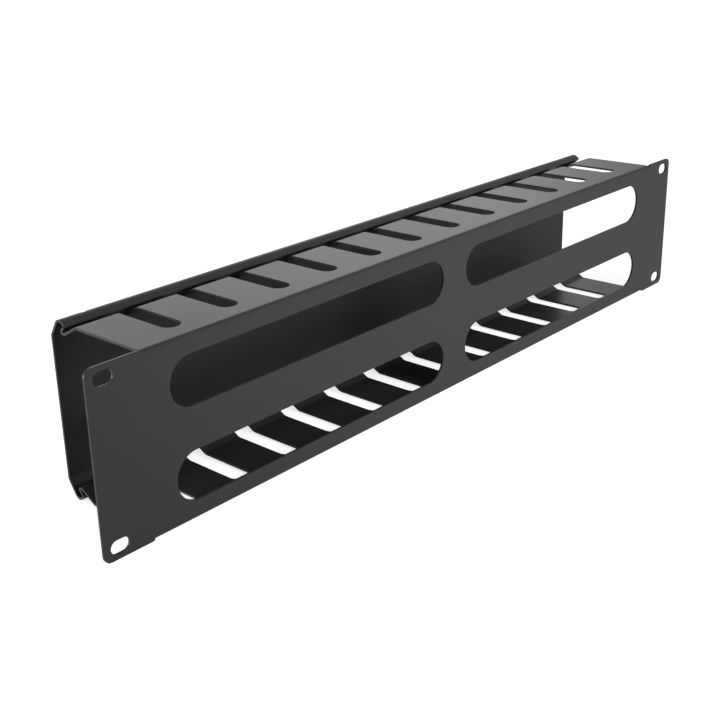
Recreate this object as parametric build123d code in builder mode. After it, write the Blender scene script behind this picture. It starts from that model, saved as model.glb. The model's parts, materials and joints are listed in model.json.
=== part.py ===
from build123d import *
import math
import os

os.makedirs("parts", exist_ok=True)

# Frame, in millimetres: the origin is the centre of the panel's mounting face,
# X runs along the rack width, Y out of the rack into the duct, Z up.

# Flat stock and the two-unit panel, with its rack slots set in from its edges
sheet = 1.2
panel_length = 482.6
panel_height = 88.0
ear_width = 28.1
ear_corner_radius = 4.0
rack_slot_length = 10.0
rack_slot_width = 6.5
rack_slot_inset_x = 8.75
rack_slot_inset_z = 5.9

# Duct folded from the panel between the ears
fold_setback = 0.35
main_fold_radius = 0.5
relief_width = 1.0
relief_corner_radius = 1.2
duct_depth = 64.3

# Cable windows through the panel, two rows of two, with a post and a bar between them
window_end_margin = 13.5
window_edge_margin = 9.15
window_post = 20.0
window_bar = 20.9

# Gaps that cut each flange into fingers
finger_gaps = 12
finger_gap_width = 10.4
finger_gap_start = 10.75
end_finger_width = 23.5

# Snap cover: a plate with a leaning side and a hook along each long edge
cover_bend_drop = 7.85
cover_lean = 33.0
cover_side = 11.0
cover_hook = 6.3
hook_corner_radius = 1.5
plate_bend_radius = 2.0
peak_bend_radius = 2.4

# Snap fit: the lip's tip stands under the hook, a little way in from the hook's free edge
hook_gap = 0.45
hook_overlap = 0.65

# Wall, floor and lip of the groove at the free end of each finger, angles in degrees
finger_lip = 4.35
lip_lean = 43.0
groove_floor = 3.4
groove_wall_slope = 29.5
finger_bend_radius = 4.4
groove_bend_radius = 1.5
lip_bend_radius = 0.25

# Small round nick in the outer side of the cover's upper ridge, near its left end
nick_inset = 13.8
nick_radius = 3.0
nick_depth = 0.9
nick_lean = 62.0

# Values that follow from the dimensions above
half_sheet = sheet / 2
duct_length = panel_length - 2 * ear_width
duct_height = panel_height - 2 * fold_setback
duct_side = duct_height / 2
relief_depth = fold_setback + sheet
relief_end = duct_length / 2 + relief_width
rack_slot_spacing_x = panel_length - 2 * rack_slot_inset_x
rack_slot_spacing_z = panel_height - 2 * rack_slot_inset_z
window_length = (duct_length - window_post) / 2 - window_end_margin
window_height = (duct_height - window_bar) / 2 - window_edge_margin
window_spacing_x = window_length + window_post
window_spacing_z = window_height + window_bar
finger_pitch = (duct_length - 2 * end_finger_width - finger_gap_width) / (finger_gaps - 1)


def along(start, distance, angle):
    turn = math.radians(angle)
    return (start[0] + distance * math.cos(turn), start[1] + distance * math.sin(turn))


def both_edges(upper):
    lower = [(depth, -height) for depth, height in reversed(upper)]
    return upper + lower


# Centre lines of the sheet, as depth and height of the upper half, free edge first
cover_corner = (duct_depth - half_sheet, duct_side - cover_bend_drop)
cover_peak = along(cover_corner, cover_side, cover_lean + 90)
cover_end = along(cover_peak, cover_hook, cover_lean + 180)
lip_line = along(cover_end, half_sheet + hook_overlap, cover_lean)
lip_end = along(lip_line, half_sheet + hook_gap, cover_lean - 90)
lip_base = along(lip_end, finger_lip, lip_lean - 90)
groove = along(lip_base, groove_floor, 180)
flange_height = duct_side - half_sheet
wall_run = (flange_height - groove[1]) / math.tan(math.radians(groove_wall_slope))
flat_end = (groove[0] - wall_run, flange_height)
main_corner = (half_sheet, flange_height)

finger_path = both_edges([lip_end, lip_base, groove, flat_end, main_corner])
finger_inside = [lip_bend_radius, groove_bend_radius, finger_bend_radius, main_fold_radius]
finger_bends = [radius + half_sheet for radius in finger_inside]
cover_path = both_edges([cover_end, cover_peak, cover_corner])
cover_bends = [radius + half_sheet for radius in [peak_bend_radius, plate_bend_radius]]

peak_bend_centre = along(cover_peak, math.sqrt(2) * cover_bends[0], cover_lean + 225)
nick_reach = cover_bends[0] + half_sheet - nick_depth + nick_radius
nick_centre = along(peak_bend_centre, nick_reach, nick_lean)

# Panel, flanges and fingers are one folded sheet
with BuildPart() as slotted_panel:
    with BuildSketch(Plane.YZ):
        with BuildLine():
            FilletPolyline(*finger_path, radius=finger_bends + finger_bends[::-1])
        trace(line_width=sheet)
    extrude(amount=duct_length / 2, both=True)

    # Flat ears, with a bend relief beside each end of the folds
    with BuildSketch(Plane.XZ.offset(-sheet)) as flat_panel:
        RectangleRounded(panel_length, panel_height, ear_corner_radius)
        with GridLocations(0, panel_height - relief_depth, 1, 2):
            Rectangle(2 * relief_end, relief_depth, mode=Mode.SUBTRACT)
        relief_corners = flat_panel.vertices().filter_by_position(
            Axis.X, -relief_end, relief_end
        )
        outer_corners = relief_corners.group_by(Axis.Y)
        fillet(outer_corners[0] + outer_corners[-1], relief_corner_radius)
    extrude(amount=sheet)

    # Rack slots in the ears and cable windows in the web
    with BuildSketch(Plane.XZ.offset(-sheet)):
        with GridLocations(rack_slot_spacing_x, rack_slot_spacing_z, 2, 2):
            SlotOverall(rack_slot_length, rack_slot_width)
        with GridLocations(window_spacing_x, window_spacing_z, 2, 2):
            SlotOverall(window_length, window_height)
    extrude(amount=sheet, mode=Mode.SUBTRACT)

    # One cut straight down parts the fingers of both flanges
    with BuildSketch(Plane.XY):
        with Locations((0, finger_gap_start + duct_depth / 2)):
            with GridLocations(finger_pitch, 0, finger_gaps, 1):
                SlotOverall(duct_depth, finger_gap_width, rotation=90)
    extrude(amount=panel_height, both=True, mode=Mode.SUBTRACT)

slotted_panel.part.label = "slotted_panel"
export_step(slotted_panel.part, "parts/slotted_panel.step")

# Cover, as long as the duct, its hooks over the lips of the fingers
with BuildPart() as snap_cover:
    with BuildSketch(Plane.YZ):
        with BuildLine():
            FilletPolyline(*cover_path, radius=cover_bends + cover_bends[::-1])
        trace(line_width=sheet)
    extrude(amount=duct_length / 2, both=True)
    hook_corners = snap_cover.edges().filter_by(
        lambda edge: edge.geom_type == GeomType.LINE and abs(edge.length - sheet) < sheet / 100
    )
    fillet(hook_corners, hook_corner_radius)

    # Nick in the upper ridge near one end
    with Locations((nick_inset - duct_length / 2, *nick_centre)):
        Sphere(nick_radius, mode=Mode.SUBTRACT)

snap_cover.part.label = "snap_cover"
export_step(snap_cover.part, "parts/snap_cover.step")
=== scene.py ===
import json
import bpy
from mathutils import Matrix, Vector

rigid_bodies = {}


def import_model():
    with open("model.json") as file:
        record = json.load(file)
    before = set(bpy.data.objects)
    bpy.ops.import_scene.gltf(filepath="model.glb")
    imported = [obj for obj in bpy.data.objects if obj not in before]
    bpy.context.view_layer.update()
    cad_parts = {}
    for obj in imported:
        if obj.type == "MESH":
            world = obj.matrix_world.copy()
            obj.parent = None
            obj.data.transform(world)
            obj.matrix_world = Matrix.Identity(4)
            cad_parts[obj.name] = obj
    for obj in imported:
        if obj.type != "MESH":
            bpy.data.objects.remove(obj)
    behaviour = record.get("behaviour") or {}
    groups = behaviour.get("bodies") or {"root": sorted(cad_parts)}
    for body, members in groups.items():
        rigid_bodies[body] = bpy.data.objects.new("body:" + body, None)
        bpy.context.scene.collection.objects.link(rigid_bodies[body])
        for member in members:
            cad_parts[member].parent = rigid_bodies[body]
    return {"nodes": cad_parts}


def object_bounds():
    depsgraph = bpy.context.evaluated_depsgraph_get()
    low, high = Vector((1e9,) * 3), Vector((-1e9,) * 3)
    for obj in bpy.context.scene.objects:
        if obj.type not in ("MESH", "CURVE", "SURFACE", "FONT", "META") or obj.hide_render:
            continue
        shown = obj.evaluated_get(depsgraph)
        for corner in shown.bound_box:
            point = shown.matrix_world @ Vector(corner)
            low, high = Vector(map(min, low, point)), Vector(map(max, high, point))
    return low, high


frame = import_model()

mm = 0.001
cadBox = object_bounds()
print("stage: packed model loaded, nodes", sorted(frame["nodes"]))


# Shader helpers: a wrapped socket takes Python maths, a tree makes any other node

class Wire:
    def __init__(self, tree, socket):
        self.tree = tree
        self.socket = socket

    def __add__(self, other):
        return self.tree.maths("ADD", self, other)

    def __radd__(self, other):
        return self.tree.maths("ADD", other, self)

    def __sub__(self, other):
        return self.tree.maths("SUBTRACT", self, other)

    def __rsub__(self, other):
        return self.tree.maths("SUBTRACT", other, self)

    def __mul__(self, other):
        return self.tree.maths("MULTIPLY", self, other)

    def __rmul__(self, other):
        return self.tree.maths("MULTIPLY", other, self)


class Tree:
    def __init__(self, owner):
        owner.use_nodes = True
        self.nodes = owner.node_tree.nodes
        self.links = owner.node_tree.links
        self.nodes.clear()

    def node(self, kind, settings=None, sockets=None):
        made = self.nodes.new(kind)
        for key, value in (settings or {}).items():
            setattr(made, key, value)
        for key, value in (sockets or {}).items():
            if isinstance(value, Wire):
                self.links.new(value.socket, made.inputs[key])
            else:
                made.inputs[key].default_value = value
        return made

    def make(self, kind, settings=None, sockets=None, output=0):
        return Wire(self, self.node(kind, settings, sockets).outputs[output])

    def maths(self, operation, first, second):
        return self.make("ShaderNodeMath", {"operation": operation}, {0: first, 1: second})


# Black powder coat, one look for both folded sheets

coat = {
    "colour": (0.0253, 0.0253, 0.0252, 1.0),
    "paler": (0.0325, 0.0324, 0.0323, 1.0),
    "roughness": 0.40,
    "roughnessSpread": 0.08,
    "specular": 0.10,
    # Fine grain, orange peel and slow clouds, each by its size, detail and roughness
    "grain": (0.55 * mm, 2.0, 0.6),
    "peel": (3.0 * mm, 3.0, 0.5),
    "cloud": (70.0 * mm, 3.0, 0.5),
    "grainInTone": 0.4,
    "peelInRelief": 0.3,
    "reliefHeight": 0.03 * mm,
    "reliefStrength": 0.35,
    # The coat softens the cut edges
    "edgeRound": 0.3 * mm,
    "edgeSamples": 6,
}


def coatNoise(tree, place, kind):
    size, detail, roughness = coat[kind]
    return tree.make("ShaderNodeTexNoise", None, {
        "Vector": place, "Scale": 1 / size, "Detail": detail, "Roughness": roughness})


def powderCoat(name):
    material = bpy.data.materials.new(name)
    tree = Tree(material)
    place = tree.make("ShaderNodeTexCoord", output="Object")
    grain = coatNoise(tree, place, "grain")
    peel = coatNoise(tree, place, "peel")
    cloud = coatNoise(tree, place, "cloud")
    paleness = (1 - coat["grainInTone"]) * cloud + coat["grainInTone"] * grain
    tone = tree.make("ShaderNodeMix", {"data_type": "RGBA"}, {
        0: paleness, 6: coat["colour"], 7: coat["paler"]}, output=2)  # a colour mix's own sockets
    gloss = coat["roughness"] + coat["roughnessSpread"] * (cloud - 0.5)
    edge = tree.make("ShaderNodeBevel", {"samples": coat["edgeSamples"]}, {"Radius": coat["edgeRound"]})
    bump = tree.make("ShaderNodeBump", None, {
        "Strength": coat["reliefStrength"], "Distance": coat["reliefHeight"],
        "Height": (1 - coat["peelInRelief"]) * grain + coat["peelInRelief"] * peel, "Normal": edge})
    shader = tree.make("ShaderNodeBsdfPrincipled", None, {
        "Base Color": tone, "Roughness": gloss, "Normal": bump, "Specular IOR Level": coat["specular"]})
    tree.node("ShaderNodeOutputMaterial", None, {"Surface": shader})
    return material


blackCoat = powderCoat("blackPowderCoat")
for name in ("slotted_panel", "snap_cover"):
    foldedSheet = frame["nodes"][name]
    foldedSheet.data.materials.clear()
    foldedSheet.data.materials.append(blackCoat)
print("stage: powder coat made")


# Floor and studio; the floor glows less near the object, so that the shadow stays

studio = {
    "floorSize": 6.0,
    "floorColour": (0.8, 0.8, 0.8, 1.0),
    "white": (1.0, 1.0, 1.0, 1.0),
    "glowNear": 0.76,
    "glowFar": 1.0,
    "nearEnds": 0.5,
    "farBegins": 1.2,
    "fill": 0.06,
}

# Each lamp: place in metres, the point it faces, its size and its power.
# One that isn't mirrored would glare in the flanges.
lamps = {
    "overhead": {"place": (0.1, 0.3, 1.5), "aim": (0.0, 0.03, 0.0), "size": (1.2, 1.2), "power": 3.2},
    "back": {"place": (1.15, 1.38, 0.78), "aim": (0.0, 0.03, 0.0), "size": (1.5, 0.9), "power": 9.4,
             "colour": (0.95, 0.98, 1.0)},
    "near": {"place": (-0.02, -0.3, 0.14), "aim": (-0.02, 0.0, 0.0), "size": (0.3, 0.3), "power": 1.12,
             "mirrored": False},
    "low": {"place": (0.0, -0.9, 0.25), "aim": (0.0, 0.0, 0.0), "size": (0.5, 0.5), "power": 3.2,
            "mirrored": False},
    "rim": {"place": (-1.2, 0.8, 0.08), "aim": (-0.2, 0.03, 0.0), "size": (0.7, 0.4), "power": 30.0},
}


def deselectAll():
    for other in bpy.context.view_layer.objects:
        other.select_set(False)


def shownRays(tree):
    path = tree.node("ShaderNodeLightPath")
    seen = 0.0
    for ray in ("Is Camera Ray", "Is Glossy Ray", "Is Transmission Ray"):
        seen = tree.maths("MAXIMUM", seen, Wire(tree, path.outputs[ray]))
    return seen


def paleFloor(name):
    material = bpy.data.materials.new(name)
    tree = Tree(material)
    place = tree.make("ShaderNodeTexCoord", output="Object")
    away = tree.make("ShaderNodeVectorMath", {"operation": "LENGTH"}, {0: place}, output="Value")
    level = tree.make("ShaderNodeMapRange", {"interpolation_type": "SMOOTHSTEP"}, {
        "Value": away, "From Min": studio["nearEnds"], "From Max": studio["farBegins"],
        "To Min": studio["glowNear"], "To Max": studio["glowFar"]})
    matt = tree.make("ShaderNodeBsdfDiffuse", None, {"Color": studio["floorColour"]})
    glow = tree.make("ShaderNodeEmission", None, {
        "Color": studio["white"], "Strength": level * shownRays(tree)})
    both = tree.make("ShaderNodeAddShader", None, {0: matt, 1: glow})
    tree.node("ShaderNodeOutputMaterial", None, {"Surface": both})
    return material


def makeFloor():
    deselectAll()
    bpy.ops.mesh.primitive_plane_add(size=studio["floorSize"], location=(0, 0, cadBox[0][2]))
    floor = bpy.context.object
    floor.name = "studio_floor"
    floor.data.materials.append(paleFloor("paleFloor"))


def makeWorld():
    world = bpy.data.worlds.new("studio")
    bpy.context.scene.world = world
    tree = Tree(world)
    strength = studio["fill"] + (1 - studio["fill"]) * shownRays(tree)
    sky = tree.make("ShaderNodeBackground", None, {"Color": studio["white"], "Strength": strength})
    tree.node("ShaderNodeOutputWorld", None, {"Surface": sky})


def makeLamp(name, values):
    towards = Vector(values["aim"]) - Vector(values["place"])
    bpy.ops.object.light_add(type="AREA", location=values["place"],
                             rotation=towards.to_track_quat("-Z", "Y").to_euler())
    lamp = bpy.context.object
    lamp.name = f"{name}_lamp"
    lamp.data.shape = "RECTANGLE"
    lamp.data.size, lamp.data.size_y = values["size"]
    lamp.data.energy = values["power"]
    lamp.data.color = values.get("colour", studio["white"][:3])
    lamp.visible_glossy = values.get("mirrored", True)


makeFloor()
makeWorld()
for name, values in lamps.items():
    makeLamp(name, values)
print("stage: floor and studio light made")


# Camera at the photograph's viewing angle: its place in metres, then pixels of the square photograph

view = {
    "place": (-0.47339, -0.35002, 0.20902),
    "forward": (0.67762, 0.65078, -0.34251),
    "right": (0.68339, -0.72928, -0.03361),
    "focal": 1134.28,
    "centre": (317.01, 324.81),
    "image": 720,
    "sensor": 36.0,
    "clip": (0.01, 50),
}


def makeCamera():
    data = bpy.data.cameras.new("photo_camera")
    camera = bpy.data.objects.new("photo_camera", data)
    bpy.context.scene.collection.objects.link(camera)
    back = -Vector(view["forward"]).normalized()
    right = Vector(view["right"])
    right = (right - right.dot(back) * back).normalized()
    up = back.cross(right)
    turn = Matrix((right, up, back)).transposed().to_4x4()
    camera.matrix_world = Matrix.Translation(Vector(view["place"])) @ turn
    data.sensor_width = view["sensor"]
    data.lens = view["focal"] / view["image"] * view["sensor"]
    data.shift_x = 0.5 - view["centre"][0] / view["image"]
    data.shift_y = view["centre"][1] / view["image"] - 0.5
    data.clip_start, data.clip_end = view["clip"]
    bpy.context.scene.camera = camera


makeCamera()
bpy.context.scene.view_settings.view_transform = "Standard"
print("stage: camera set")
